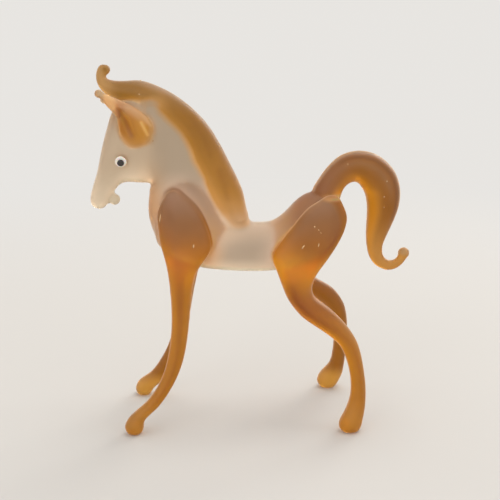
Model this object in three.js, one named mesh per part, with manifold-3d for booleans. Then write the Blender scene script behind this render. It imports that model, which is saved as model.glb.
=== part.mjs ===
// A frosted glass horse made at a lamp: a clear gather forms the trunk, neck and head,
// and amber rods form the legs, mane, ears and tail, all fused to it.
// Millimetres. X runs from the nose (minus) to the tail (plus), Z is up, Y is across.

import * as THREE from 'three';
import { mergeVertices } from 'three/addons/utils/BufferGeometryUtils.js';
import Module from 'manifold-3d';

const wasm = await Module();
wasm.setup();

// Driving dimensions

const glassGap = 0.3; // kept between two fused pieces
const trunkHalfWidth = 7; // the legs stand out from this
const neckBaseHalfWidth = 6.6;
const neckTopHalfWidth = 4.7;
const headHalfWidth = 5;
const muzzleHalfWidth = 2.8;
const seamX = -28; // where the head's gather meets the neck's
const muzzleRound = 2.6;
const lipRadius = 1.75;
const lipCentre = [-40.7, 68.6];
const eyeCentre = [-38, 80.7];
const eyeRadius = 1.85;
const eyeDome = 0.9; // the white stands out from the cheek by this
const pupilRadius = 1.1;
const pupilDrop = 0.4; // the pupil sits below the middle of the white
const pupilDome = 0.6; // the pupil stands out from the white by this
const earHalfThickness = 1.7;
const earLean = 1.6; // the ear's tip is this much further out than its root
const farEarDrop = 2.4; // the far ear's tip hangs lower than the near one's
const earFold = 1.1; // radius of the fold pressed into the ear
const tailFlatness = 0.94; // width of the tail's section over its depth
const soleHeight = 0; // the feet are melted flat here

// Heights of the domes that close a rod or a gather at its first and last section.
const trunkDomes = [1.4, 1.6];
const neckDomes = [1, 2];
const headDomes = [0, muzzleRound];
const maneDomes = [1.9, 1.2];
const tailDomes = [1, 1.6];
const legDomes = [1, 3];
const earDomes = [0.8, 1.5];
const foldDomes = [0.8, 0.8];

// Facets: how finely a surface is cut up, with no bearing on its size.
const gatherSides = 22;
const maneSides = 16;
const rodSides = 14;
const earSides = 12;
const foldSides = 8;
const sectionsPerRow = 2;
const domeSections = 3;
const lensSegments = [16, 10];
const mergeTolerance = 1e-5;
const farAway = 200; // further than any glass, for cuts that go right through

// Side-view outlines. A row is one section of a piece: the two edge points of its
// outline as x, z, x, z, then the section's half width and, on legs and ears,
// how far its middle lies outside the trunk's or the head's side.

const trunkOutline = [
  [-27.2, 53.8, -28, 66, 5.6],
  [-23.5, 50.2, -23, 68, 6.6],
  [-16, 47.5, -15, 66, trunkHalfWidth],
  [-7.5, 46.4, -7, 62, trunkHalfWidth],
  [1.5, 46, 1.5, 61.3, trunkHalfWidth],
  [7, 46.2, 6.5, 61.6, trunkHalfWidth],
  [12, 47, 10.4, 64.2, trunkHalfWidth],
  [17, 49, 14, 68, 6.8],
  [22.5, 52.5, 17.6, 70.3, 6.5],
  [26.5, 58, 22.5, 70.8, 5.2],
];

const neckOutline = [
  [-25.5, 52, -6, 55, neckBaseHalfWidth],
  [-29.2, 58, -3, 61, neckBaseHalfWidth],
  [-30.8, 64.5, -3.2, 66.5, 6.3],
  [-30.3, 70.5, -5.8, 73, 5.9],
  [-29.6, 76, -9.3, 80.5, 5.5],
  [-29.5, 82, -13, 87.5, 5.2],
  [-30.5, 88, -18.6, 93.6, 5],
  [-33, 92.5, -25.2, 98.3, neckTopHalfWidth],
];

const headOutline = [
  [-22, 73.5, -22, 98, headHalfWidth],
  [-28, 73.4, -28, 99, headHalfWidth],
  [-32, 73.5, -34, 99.6, headHalfWidth],
  [-35, 73.6, -39.2, 97.2, 4.9],
  [-37.2, 73.7, -42.2, 90, 4.5],
  [-39, 73, -44.3, 82.5, 4],
  [-40.3, 71.4, -45.6, 76.8, 3.4],
  [-41.6, 69.6, -47.1, 72.3, 3],
  [-42.6, 67.6, -47.9, 69, muzzleHalfWidth],
];

const maneOutline = [
  [-44.5, 106.5, -41.2, 106.5, 1.6],
  [-45, 105, -42.2, 105.2, 1.4],
  [-44.5, 102.6, -41.6, 104.2, 1.7],
  [-43, 100.2, -39.8, 103.7, 2.2],
  [-39.5, 98.2, -36.5, 103.6, 3.4],
  [-34.5, 97.4, -32, 103.7, 4.4],
  [-31.6, 94.4, -27, 102.1, 5],
  [-28.2, 90.8, -21.5, 99.2, 5],
  [-25.3, 86.8, -15.6, 94.4, 5.2],
  [-21.3, 82, -11, 88.8, 5.5],
  [-18.2, 75.3, -6, 79.4, 5.9],
  [-15.3, 69.1, -2.2, 71.2, 6.3],
  [-11.2, 64.8, -1, 65.6, 6.3],
  [-6, 61, -0.1, 62.3, 5.4],
];

const tailOutline = [
  [15.5, 64.5, 26, 62],
  [18.5, 70.6, 27.4, 68.4],
  [22.3, 76.8, 28.6, 71.6],
  [27, 81.4, 30.3, 73],
  [32.5, 82.9, 32, 73.4],
  [38, 81.8, 33.6, 71.9],
  [43.3, 77.4, 35, 69.3],
  [45.6, 71.5, 35.6, 65.8],
  [45.3, 65.5, 35.6, 61.5],
  [42.9, 59, 35.5, 56.8],
  [40.9, 54, 36, 52.6],
  [40.8, 51.6, 36.8, 50],
  [41.5, 49.9, 38.9, 47.2],
  [43.4, 48.8, 43.3, 45.6],
  [45.4, 49.8, 47.2, 47.6],
  [46, 51.5, 49.3, 51.4],
];

const earOutline = [
  [-44.4, 99.6, -43.2, 101.3, 0.9],
  [-43, 98.6, -42, 100.4, 0.85],
  [-41.2, 96.3, -38, 98.6, 1.2],
  [-38.9, 93.5, -33.8, 96.6, earHalfThickness],
  [-38.5, 90.7, -29.9, 93.6, earHalfThickness],
  [-37.8, 88, -28.3, 90.5, earHalfThickness],
  [-36.2, 85.3, -29, 87.5, 1.4],
];

const earFoldOutline = [
  [-39.4, 95.4, -38.2, 96.8],
  [-37.4, 92.4, -35.4, 93.8],
  [-36.6, 89.6, -34.2, 90.8],
  [-35.6, 87.8, -33.4, 88.4],
];

const nearForeLeg = [
  [-25.2, 71.3, -21, 72, 1.6, 0],
  [-27.6, 66.5, -15.3, 66.5, 2.8, 0.3],
  [-27.8, 60.5, -12.2, 59.5, 3.4, 0.5],
  [-26.9, 55.8, -11.6, 55.3, 3.7, 0.9],
  [-25.8, 52, -13.4, 52, 3.8, 1.4],
  [-24.8, 47.5, -16.4, 47.5, 3.7, 2.1],
  [-24, 39, -17.9, 39, 3.1, 3],
  [-24, 31, -18.8, 30.8, 2.7, 4.2],
  [-25.2, 22.5, -20.4, 21.9, 2.4, 5.6],
  [-27.6, 15.5, -23.3, 14.9, 2.2, 6.9],
  [-31.6, 9.8, -27.9, 8.2, 2.1, 8.1],
  [-36.6, 5.6, -32.4, 4, 2.4, 8.8],
  [-38.3, 2.6, -32.4, 2, 2.9, 8.8],
];

const farForeLeg = [
  [-21.2, 71.3, -17, 72, 1.6, 0],
  [-24.1, 66.5, -11.8, 66.5, 2.8, 0.3],
  [-24.9, 60.5, -9.3, 59.5, 3.4, 0.5],
  [-24.4, 55.8, -9.1, 55.3, 3.7, 0.9],
  [-23.7, 52, -11.3, 52, 3.8, 1.4],
  [-23.2, 47.5, -14.8, 47.5, 3.7, 2.1],
  [-23.2, 39, -17.1, 39, 3.1, 3],
  [-23.6, 31, -18.6, 30.8, 2.6, 3.8],
  [-24.8, 22.5, -20.6, 21.3, 2.2, 5.2],
  [-27.9, 14.6, -23.8, 13, 2.1, 6.3],
  [-32.2, 8.2, -28.2, 5.2, 2.3, 7.4],
  [-35.8, 5.4, -31.8, 1.8, 2.8, 8.4],
  [-37.4, 3, -31.8, 1.2, 3, 8.8],
];

const nearHindLeg = [
  [20.9, 69.3, 26.2, 69.8, 1.8, 0.3],
  [16.5, 66.7, 28.6, 64.6, 2.9, 0.5],
  [12.6, 62, 27.9, 59.8, 3.5, 0.7],
  [8.6, 57, 25.3, 54.6, 3.8, 0.9],
  [6.1, 52.4, 22.1, 49.9, 4, 1.2],
  [7.4, 48.3, 19.5, 46.4, 4.2, 1.6],
  [9.3, 43.2, 18.2, 42.5, 4.2, 2.2],
  [11, 39.3, 19.1, 40.2, 4, 2.7],
  [15, 34.3, 22.9, 37.3, 3.9, 3.7],
  [20.3, 30.8, 27, 33.7, 3.4, 5],
  [26, 26.5, 31.5, 27.4, 2.8, 6.5],
  [28.8, 20, 33.4, 19.9, 2.4, 7.7],
  [29.6, 12.5, 34.2, 12.4, 2.4, 8.8],
  [28.2, 7.5, 33.9, 6.8, 2.7, 9.5],
  [25.9, 2.7, 33, 1.7, 3.2, 9.7],
];

const farHindLeg = [
  [21.6, 68, 26.6, 68.4, 1.8, 0.3],
  [17.6, 65.6, 28.8, 63.4, 2.9, 0.5],
  [14.2, 61.2, 28.2, 58.8, 3.5, 0.7],
  [10.6, 56.4, 25.8, 53.8, 3.8, 0.9],
  [8.4, 52, 22.6, 49.4, 3.9, 1.2],
  [8.6, 48.2, 20, 46.2, 4, 1.6],
  [10, 43.6, 18.8, 43.6, 3.9, 2.2],
  [13.2, 39.2, 20.4, 41.8, 3.4, 3],
  [17.5, 36.2, 22.8, 40, 3, 4],
  [22.3, 33, 27.4, 37, 3, 5],
  [26.2, 29.3, 31.5, 31, 2.8, 6.4],
  [28.2, 23.3, 32.9, 23.2, 2.5, 8],
  [28.5, 15.5, 32.8, 15.2, 2.3, 9.6],
  [27.6, 9.2, 32.6, 8.2, 2.5, 11.2],
  [24.8, 5.4, 32, 4, 3.1, 12.5],
  [23.6, 2.8, 30.8, 1.8, 3.3, 12.7],
];

// Solids

// A closed body through the sections of an outline, with domed ends.
// side is -1 for the near side, 1 for the far side; grow swells it all round.
function loft(rows, { sides, domes, side = 1, reach = 0, grow = 0 }) {
  const edges = [0, 2].map((at) => new THREE.CatmullRomCurve3(
    rows.map((row) => new THREE.Vector3(row[at], 0, row[at + 1])),
  ));
  const across = new THREE.CatmullRomCurve3(
    rows.map((row) => new THREE.Vector3(row[4], row[5] ?? 0, 0)), false, 'catmullrom', 0.5,
  );
  const last = (rows.length - 1) * sectionsPerRow;
  const sections = [];
  for (let i = 0; i <= last; i += 1) {
    const from = edges[0].getPoint(i / last);
    const to = edges[1].getPoint(i / last);
    const width = across.getPoint(i / last);
    const centre = from.clone().add(to).multiplyScalar(0.5);
    centre.y = side * (reach + width.y);
    const half = to.clone().sub(from).multiplyScalar(0.5);
    const depth = half.length();
    sections.push({ centre, out: half.normalize(), depth: depth + grow, width: width.x + grow });
  }
  const along = ({ out }) => new THREE.Vector3(-out.z, 0, out.x);
  const run = sections[1].centre.clone().sub(sections[0].centre);
  const sense = Math.sign(run.dot(along(sections[0])));
  const rings = [
    ...domeRings(sections[0], along(sections[0]).multiplyScalar(-sense), domes[0] + grow).reverse(),
    ...sections,
    ...domeRings(sections[last], along(sections[last]).multiplyScalar(sense), domes[1] + grow),
  ];
  return skin(rings, sides, sense);
}

// Sections that shrink to a point like a half dome of the given height.
function domeRings(section, direction, height) {
  return Array.from({ length: domeSections }, (_, k) => {
    const angle = ((k + 1) / domeSections) * (Math.PI / 2);
    const shrink = k + 1 === domeSections ? 0 : Math.cos(angle);
    return {
      centre: section.centre.clone().addScaledVector(direction, height * Math.sin(angle)),
      out: section.out,
      depth: section.depth * shrink,
      width: section.width * shrink,
    };
  });
}

// A closed skin over rings of places, from a first point to a last point.
function skin(rings, sides, sense) {
  const places = [];
  const faces = [];
  const put = ({ centre, out, depth, width }, angle) => {
    const place = centre.clone().addScaledVector(out, depth * Math.cos(angle));
    place.y += width * Math.sin(angle) * sense;
    places.push(...place.toArray());
  };
  const body = rings.slice(1, -1);
  put(rings[0], 0);
  body.forEach((ring) => {
    for (let j = 0; j < sides; j += 1) put(ring, (2 * Math.PI * j) / sides);
  });
  put(rings.at(-1), 0);
  const index = (ring, j) => 1 + ring * sides + (j % sides);
  const tip = 1 + body.length * sides;
  for (let j = 0; j < sides; j += 1) {
    faces.push(0, index(0, j + 1), index(0, j));
    faces.push(index(body.length - 1, j), index(body.length - 1, j + 1), tip);
    for (let i = 0; i + 1 < body.length; i += 1) {
      faces.push(index(i, j), index(i, j + 1), index(i + 1, j));
      faces.push(index(i, j + 1), index(i + 1, j + 1), index(i + 1, j));
    }
  }
  const geometry = new THREE.BufferGeometry();
  geometry.setAttribute('position', new THREE.Float32BufferAttribute(places, 3));
  geometry.setIndex(faces);
  return solid(geometry);
}

function solid(geometry) {
  const bare = geometry.clone();
  bare.deleteAttribute('normal');
  bare.deleteAttribute('uv');
  const merged = mergeVertices(bare, mergeTolerance);
  return new wasm.Manifold(new wasm.Mesh({
    numProp: 3,
    vertProperties: new Float32Array(merged.attributes.position.array),
    triVerts: new Uint32Array(merged.index.array),
  }));
}

function geometryOf(body) {
  const { vertProperties, triVerts } = body.getMesh();
  const geometry = new THREE.BufferGeometry();
  geometry.setAttribute('position', new THREE.BufferAttribute(vertProperties, 3));
  geometry.setIndex(new THREE.BufferAttribute(triVerts, 1));
  geometry.computeVertexNormals();
  return geometry;
}

// A block that reaches right across the horse.
function block(minX, maxX, minZ, maxZ) {
  const geometry = new THREE.BoxGeometry(maxX - minX, farAway, maxZ - minZ);
  geometry.translate((minX + maxX) / 2, 0, (minZ + maxZ) / 2);
  return solid(geometry);
}

// A lens of glass: a ball flattened across, its middle at the given point.
function lens(radius, halfThickness, [x, y, z], grow = 0) {
  const geometry = new THREE.SphereGeometry(1, ...lensSegments);
  geometry.scale(radius + grow, halfThickness + grow, radius + grow);
  geometry.translate(x, y, z);
  return solid(geometry);
}

// The y of a solid's outer face where a line across the horse meets it.
function faceAt(body, x, z, side) {
  const mesh = new THREE.Mesh(geometryOf(body), new THREE.MeshStandardMaterial());
  const start = new THREE.Vector3(x, side * farAway, z);
  const ray = new THREE.Raycaster(start, new THREE.Vector3(0, -side, 0));
  return ray.intersectObject(mesh)[0].point.y;
}

// Glass bodies

const headBlank = (grow) => loft(headOutline, { sides: gatherSides, domes: headDomes, grow })
  .intersect(block(-farAway, seamX + grow, -farAway, farAway));

const bodyBlank = (grow) => loft(trunkOutline, { sides: gatherSides, domes: trunkDomes, grow })
  .add(loft(neckOutline, { sides: gatherSides, domes: neckDomes, grow }));

const maneBlank = (grow) => loft(maneOutline, { sides: maneSides, domes: maneDomes, grow });

const tailBlank = (grow) => loft(
  tailOutline.map((row) => [...row, tailFlatness * Math.hypot(row[2] - row[0], row[3] - row[1]) / 2]),
  { sides: rodSides, domes: tailDomes, grow },
);

const head = headBlank(0);
const body = bodyBlank(0).subtract(headBlank(glassGap));
const lip = lens(lipRadius, lipRadius, [lipCentre[0], 0, lipCentre[1]]).subtract(headBlank(glassGap));
const mane = maneBlank(0).subtract(bodyBlank(glassGap)).subtract(headBlank(glassGap));
const tail = tailBlank(0).subtract(bodyBlank(glassGap));

const underFloor = block(-farAway, farAway, -farAway, soleHeight);

function leg(rows, side) {
  return loft(rows, { sides: rodSides, domes: legDomes, side, reach: trunkHalfWidth })
    .subtract(bodyBlank(glassGap))
    .subtract(tailBlank(glassGap))
    .subtract(underFloor);
}

function earBlank(side, grow) {
  const rows = earOutline.map(([lowX, lowZ, highX, highZ, thickness], i) => {
    const toTip = 1 - i / (earOutline.length - 1);
    const drop = side > 0 ? farEarDrop * toTip : 0;
    return [lowX, lowZ - drop, highX, highZ - drop, thickness, earLean * toTip];
  });
  return loft(rows, { sides: earSides, domes: earDomes, side, reach: headHalfWidth, grow });
}

function ear(side) {
  const fold = loft(
    earFoldOutline.map((row) => [...row, earFold, earHalfThickness + earFold / 2]),
    { sides: foldSides, domes: foldDomes, side, reach: headHalfWidth },
  );
  return earBlank(side, 0)
    .subtract(headBlank(glassGap))
    .subtract(maneBlank(glassGap))
    .subtract(bodyBlank(glassGap))
    .subtract(fold);
}

function eye(side) {
  const [x, z] = eyeCentre;
  const cheekY = faceAt(head, x, z, side);
  const whiteBlank = (grow) => lens(eyeRadius, eyeDome, [x, cheekY, z], grow);
  const pupilZ = z - pupilDrop;
  const whiteY = faceAt(whiteBlank(0), x, pupilZ, side);
  return {
    white: whiteBlank(0).subtract(headBlank(glassGap)),
    pupil: lens(pupilRadius, pupilDome, [x, whiteY, pupilZ]).subtract(whiteBlank(glassGap)),
  };
}

// Pieces and their places

const glass = (color, roughness) => new THREE.MeshStandardMaterial({ color, roughness, metalness: 0 });
const clearGlass = glass(0xc9b79a, 0.55);
const amberGlass = glass(0xc07c30, 0.5);
const maneGlass = glass(0xb08042, 0.55);
const whiteGlass = glass(0xf4f2ec, 0.35);
const blackGlass = glass(0x141414, 0.1);

function piece(name, shape, material) {
  const mesh = new THREE.Mesh(geometryOf(shape), material);
  mesh.name = name;
  return mesh;
}

const headGroup = new THREE.Group();
headGroup.add(
  piece('head', head, clearGlass),
  piece('lower_lip', lip, clearGlass),
);
const trunkGroup = new THREE.Group();
trunkGroup.add(
  piece('trunk_and_neck', body, clearGlass),
  piece('mane_and_forelock', mane, maneGlass),
  piece('tail', tail, amberGlass),
);
const legGroup = new THREE.Group();

[['near', -1, nearForeLeg, nearHindLeg], ['far', 1, farForeLeg, farHindLeg]].forEach(
  ([word, side, foreLeg, hindLeg]) => {
    const { white, pupil } = eye(side);
    headGroup.add(
      piece(`ear_${word}`, ear(side), amberGlass),
      piece(`eye_white_${word}`, white, whiteGlass),
      piece(`pupil_${word}`, pupil, blackGlass),
    );
    legGroup.add(
      piece(`fore_leg_${word}`, leg(foreLeg, side), amberGlass),
      piece(`hind_leg_${word}`, leg(hindLeg, side), amberGlass),
    );
  },
);

const horse = new THREE.Group();
horse.add(trunkGroup, headGroup, legGroup);

// The origin lies on the floor, under the middle of the horse.
const extent = new THREE.Box3().setFromObject(horse);
const middle = extent.getCenter(new THREE.Vector3());
horse.position.set(-middle.x, -middle.y, -extent.min.z);

const figurine = new THREE.Group();
figurine.add(horse);

export default figurine;
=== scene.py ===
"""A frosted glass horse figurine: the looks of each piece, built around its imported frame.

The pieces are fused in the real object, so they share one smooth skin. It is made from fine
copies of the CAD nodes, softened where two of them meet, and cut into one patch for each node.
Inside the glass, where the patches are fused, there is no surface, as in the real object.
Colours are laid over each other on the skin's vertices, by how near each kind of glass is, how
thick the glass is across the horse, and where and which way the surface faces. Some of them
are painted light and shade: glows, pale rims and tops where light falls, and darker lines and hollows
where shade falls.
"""

import math

import bmesh
import bpy
import numpy as np
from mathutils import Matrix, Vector
from mathutils.bvhtree import BVHTree


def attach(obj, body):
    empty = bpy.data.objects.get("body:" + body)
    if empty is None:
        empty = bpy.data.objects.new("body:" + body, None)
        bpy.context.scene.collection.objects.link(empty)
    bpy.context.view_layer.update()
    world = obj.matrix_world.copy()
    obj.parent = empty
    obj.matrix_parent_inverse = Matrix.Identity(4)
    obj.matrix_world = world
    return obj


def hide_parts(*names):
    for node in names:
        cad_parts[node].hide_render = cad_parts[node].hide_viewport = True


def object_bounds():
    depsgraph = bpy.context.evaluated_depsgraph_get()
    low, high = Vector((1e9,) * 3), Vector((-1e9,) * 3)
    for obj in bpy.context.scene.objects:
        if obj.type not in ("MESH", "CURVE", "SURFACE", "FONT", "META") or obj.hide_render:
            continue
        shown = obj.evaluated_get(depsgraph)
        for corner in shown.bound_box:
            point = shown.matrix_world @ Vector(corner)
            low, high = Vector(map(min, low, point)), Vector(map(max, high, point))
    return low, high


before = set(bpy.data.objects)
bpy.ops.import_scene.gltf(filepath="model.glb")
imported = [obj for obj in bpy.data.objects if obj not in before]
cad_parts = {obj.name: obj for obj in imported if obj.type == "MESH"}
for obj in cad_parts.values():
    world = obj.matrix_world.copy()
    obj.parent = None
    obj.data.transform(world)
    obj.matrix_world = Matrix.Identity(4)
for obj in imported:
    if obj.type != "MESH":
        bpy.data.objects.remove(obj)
cad_box = [list(corner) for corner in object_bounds()]

MM = 0.001

# The camera, as the photograph was taken
CAMERA_PLACE = Vector((-12.41, -269.79, 114.5)) * MM
CAMERA_DOWN = math.radians(13.0)
CAMERA_TURN = math.radians(-2.5)
FOCAL_PIXELS = 900.0
PICTURE_PIXELS = 500.0
SENSOR_MM = 36.0

# Pieces by their kind of glass, with the mesh size of each one's fine copy, in mm
CLEAR = {"trunk_and_neck": 0.42, "head": 0.4, "lower_lip": 0.2}
MANE = {"mane_and_forelock": 0.36}
AMBER = {
    "tail": 0.4, "ear_near": 0.24, "ear_far": 0.24,
    "fore_leg_near": 0.4, "fore_leg_far": 0.4, "hind_leg_near": 0.42, "hind_leg_far": 0.42,
}
DOTS = ("eye_white_near", "eye_white_far", "pupil_near", "pupil_far")
SLOTS = {
    **dict.fromkeys(CLEAR, "clear_glass"),
    **dict.fromkeys(MANE, "mane_glass"),
    **dict.fromkeys(AMBER, "amber_glass"),
}

LEGS = [name for name in AMBER if "leg" in name]
EARS = [name for name in AMBER if name.startswith("ear")]
MIDDLE_Y_MM = -1.5  # the plane in the middle of the horse, where the mane and the tail lie

# Ends that are melted into small balls: the ball's middle and radius, in mm
BALLS = {
    "tail": ((46.75, MIDDLE_Y_MM, 51.1), 1.75),
    "mane_and_forelock": ((-42.85, MIDDLE_Y_MM, 106.7), 1.5),
    "ear_near": ((-44.2, -8.1, 100.2), 1.2),
    "ear_far": ((-44.2, 5.0, 97.7), 1.2),
}

SMOOTH_STEPS = (0.5, -0.51)  # a step inward, and one outward that keeps the size
SMALL = {"ear_near": 40, "ear_far": 40, "lower_lip": 20}  # rounds of smoothing of small pieces
ROUNDS = 90  # rounds of smoothing of the others, whose kinks up to 5 mm apart fade away
SPREAD = 4  # rings of neighbours that a round evens out there
BALL_ROUNDS = 6
SKIN_ROUNDS = 6
SKIN_CELL_MM = 0.32
GROWTH_MM = 0.2  # swells the pieces until they touch, and is taken off again
REACH_MM = 6.0  # how far away a piece is still looked for
MERGE_MM = 0.001  # points nearer than this are one point

# Softening where two pieces meet. The pairs say how many mm the farther of the two is away
# where all of the softening is done, and where none is.
SOFT_STEP = 0.5
CREASE_ROUNDS = 14
CREASE_MM = (0.7, 2.2)
FLUSH_ROUNDS = 300  # for the sides of head and neck, which are one smooth surface
FLUSH_MM = (1.5, 3.5)
FLUSH_SIDEWAYS = (0.35, 0.8)  # how much the skin faces sideways for none and all of that
MELT_ROUNDS = 110  # for the shoulders' tops and the mane's end, which melt into the trunk
SHOULDER_MM = (1.2, 3.8)
SHOULDER_TOP_MM = (54, 62)  # the shoulder melts above this height
HAIR_END_MM = (1.0, 3.0)
HAIR_END_TOP_MM = (64, 70)  # the mane's end melts below this height
BORDER_RINGS = 3  # rings of neighbours over which the borders between the patches are evened


# Meshes as arrays

def read(items, what, width=1, kind=np.float32):
    """One value of each item, or a row of them, as an array."""
    values = np.empty(len(items) * width, kind)
    items.foreach_get(what, values)
    return values.reshape(-1, width) if width > 1 else values


def corners(mesh):
    return read(mesh.vertices, "co", 3).astype(float)


def set_corners(mesh, places):
    mesh.vertices.foreach_set("co", places.astype(np.float32).ravel())
    mesh.update()


def normals(mesh):
    return read(mesh.vertices, "normal", 3).astype(float)


def shade_smooth(mesh):
    mesh.polygons.foreach_set("use_smooth", np.ones(len(mesh.polygons), bool))


def neighbours(mesh):
    """The vertices joined to each vertex, one after the other, and where each one's list starts."""
    edges = read(mesh.edges, "vertices", 2, np.int64)
    both = np.vstack([edges, edges[:, ::-1]])
    both = both[np.argsort(both[:, 0], kind="stable")]
    count = np.bincount(both[:, 0], minlength=len(mesh.vertices))
    first = np.concatenate([[0], np.cumsum(count)[:-1]])
    return both[:, 1], first, count[:, None]


def averaged(values, joins, rings=1):
    """Each vertex's mean over its neighbours, and over theirs with more rings."""
    others, first, count = joins
    for _ in range(rings):
        values = np.add.reduceat(values[others], first) / count
    return values


def smoothed(mesh, rounds, rings=1):
    """Smooths a mesh without shrinking it."""
    places = corners(mesh)
    joins = neighbours(mesh)
    for _ in range(rounds):
        for step in SMOOTH_STEPS:
            places += step * (averaged(places, joins, rings) - places)
    set_corners(mesh, places)


def ring_faces(rings, spokes):
    """The faces between rings of points that follow each other, each ring closed."""
    faces = []
    for i in range(rings):
        for k in range(spokes):
            after = (k + 1) % spokes
            low = i * spokes
            high = low + spokes
            faces.append((low + k, low + after, high + after, high + k))
    return faces


def closed_mesh(name, places, faces):
    """A smooth mesh of closed shapes, with the points that lie on each other merged."""
    mesh = bpy.data.meshes.new(name)
    mesh.from_pydata(places, [], faces)
    shape = bmesh.new()
    shape.from_mesh(mesh)
    bmesh.ops.remove_doubles(shape, verts=shape.verts, dist=MERGE_MM * MM)
    bmesh.ops.recalc_face_normals(shape, faces=shape.faces)
    shape.to_mesh(mesh)
    shape.free()
    shade_smooth(mesh)
    return mesh


def tree_of(*meshes):
    places, faces = [], []
    for mesh in meshes:
        base = len(places)
        places.extend(v.co.copy() for v in mesh.vertices)
        faces.extend([base + i for i in p.vertices] for p in mesh.polygons)
    return BVHTree.FromPolygons(places, faces)


def nearest(tree, places, reach):
    """How far each place is from the tree's nearest face, which is endless out of reach."""
    found = [tree.find_nearest(place, reach)[3] for place in places.tolist()]
    return np.array([np.inf if away is None else away for away in found], float)


def ease(value, low, high):
    """0 below low, 1 above high, and a smooth rise between them."""
    t = np.clip((value - low) / (high - low), 0, 1)
    return t * t * (3 - 2 * t)


# Fine copies of the CAD nodes

def evened(mesh, cell):
    """The mesh made anew from even quads of the given size."""
    keeper = bpy.data.objects.new("evened", mesh)
    bpy.context.scene.collection.objects.link(keeper)
    remesh = keeper.modifiers.new("even", "REMESH")
    remesh.mode = "VOXEL"
    remesh.voxel_size = cell
    seen = keeper.evaluated_get(bpy.context.evaluated_depsgraph_get())
    made = bpy.data.meshes.new_from_object(seen)
    bpy.data.objects.remove(keeper)
    return made


def fine_copy(node, cell_mm):
    made = evened(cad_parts[node].data, cell_mm * MM)
    if node in SMALL:
        smoothed(made, SMALL[node])
    else:
        smoothed(made, ROUNDS, SPREAD)
    if node in BALLS:
        swell(made, *BALLS[node])
        smoothed(made, BALL_ROUNDS)
    return made


def swell(mesh, middle_mm, radius_mm):
    """Pushes what lies inside a ball out to its surface."""
    places = corners(mesh)
    off = places / MM - middle_mm
    size = np.linalg.norm(off, axis=1)
    inside = size < radius_mm
    places[inside] = (middle_mm + off[inside] * radius_mm / size[inside, None]) * MM
    set_corners(mesh, places)


def joined(meshes, growth):
    """One mesh of all the meshes, each swollen by growth."""
    places, faces, base = [], [], 0
    for mesh in meshes:
        places.append(corners(mesh) + growth * normals(mesh))
        faces.extend(tuple(base + i for i in p.vertices) for p in mesh.polygons)
        base += len(mesh.vertices)
    made = bpy.data.meshes.new("joined")
    made.from_pydata(np.vstack(places).tolist(), [], faces)
    made.update()
    return made


def loose_bits(mesh):
    """The vertices that aren't joined to the mesh's first one, such as a pocket inside the glass."""
    others, first, count = neighbours(mesh)
    seen = np.zeros(len(first), bool)
    seen[0] = True
    edge = np.array([0])
    while len(edge):
        rows = [others[first[i]:first[i] + count[i, 0]] for i in edge]
        edge = np.unique(np.concatenate(rows))
        edge = edge[~seen[edge]]
        seen[edge] = True
    return ~seen


def drop(mesh, spare):
    """Takes the spare vertices out of a mesh."""
    shape = bmesh.new()
    shape.from_mesh(mesh)
    bmesh.ops.delete(shape, geom=[v for v, out in zip(shape.verts, spare) if out], context="VERTS")
    shape.to_mesh(mesh)
    shape.free()


def shared_skin(meshes):
    """The one surface that all the pieces share, with softened creases where they meet."""
    skin = evened(joined(list(meshes.values()), GROWTH_MM * MM), SKIN_CELL_MM * MM)
    drop(skin, loose_bits(skin))
    smoothed(skin, SKIN_ROUNDS)
    away = distances(skin, meshes)
    second = np.sort(np.stack(list(away.values())), axis=0)[1]
    crease = 1 - ease(second, *CREASE_MM)

    trunk = away["trunk_and_neck"]
    sideways = ease(np.abs(normals(skin)[:, 1]), *FLUSH_SIDEWAYS)
    flush = sideways * (1 - ease(np.maximum(away["head"], trunk), *FLUSH_MM))

    places = corners(skin)
    height = places[:, 2] / MM
    fore_legs = np.minimum(away["fore_leg_near"], away["fore_leg_far"])
    shoulder = 1 - ease(np.maximum(fore_legs, trunk), *SHOULDER_MM)
    hair_end = 1 - ease(np.maximum(away["mane_and_forelock"], trunk), *HAIR_END_MM)
    melt = np.maximum(shoulder * ease(height, *SHOULDER_TOP_MM),
                      hair_end * (1 - ease(height, *HAIR_END_TOP_MM)))

    joins = neighbours(skin)
    for share, rounds in ((flush, FLUSH_ROUNDS), (melt, MELT_ROUNDS), (crease, CREASE_ROUNDS)):
        for _ in range(rounds):
            places += SOFT_STEP * share[:, None] * (averaged(places, joins) - places)
    set_corners(skin, places)
    places -= GROWTH_MM * MM * normals(skin)
    set_corners(skin, np.clip(places, *cad_box))
    return skin


def distances(skin, meshes):
    """How many mm each vertex of the skin is from each mesh."""
    places = corners(skin)
    away = {name: nearest(tree_of(mesh), places, REACH_MM * MM) for name, mesh in meshes.items()}
    return {name: np.minimum(found / MM, REACH_MM) for name, found in away.items()}


# Cutting the skin into patches

def owners(skin, away):
    """The number of the piece that each face of the skin belongs to."""
    near = np.stack(list(away.values()))
    near = averaged(near.T, neighbours(skin), BORDER_RINGS)
    faces = read(skin.loops, "vertex_index", kind=np.int64)
    starts = read(skin.polygons, "loop_start", kind=np.int64)
    return np.argmin(np.add.reduceat(near[faces], starts), axis=1)


def patch(skin, chosen, name):
    """The chosen faces of the skin as a piece, shaded as part of the whole skin."""
    shape = bmesh.new()
    shape.from_mesh(skin)
    spare = [face for face, keep in zip(shape.faces, chosen) if not keep]
    bmesh.ops.delete(shape, geom=spare, context="FACES")
    mesh = bpy.data.meshes.new(name)
    shape.to_mesh(mesh)
    shape.free()
    facing = read(mesh.attributes["facing"].data, "vector", 3)
    mesh.attributes.remove(mesh.attributes["facing"])
    mesh.normals_split_custom_set_from_vertices(facing.tolist())
    return mesh


# A dot's outline isn't quite round: waves a turn, share of the radius and phase of each wave
DOT_WAVES = ((2, 0.02, 0.7), (3, 0.012, 2.1))
DOT_BULGE = 0.8  # below 1, a dot is fuller than an ellipse


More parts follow.
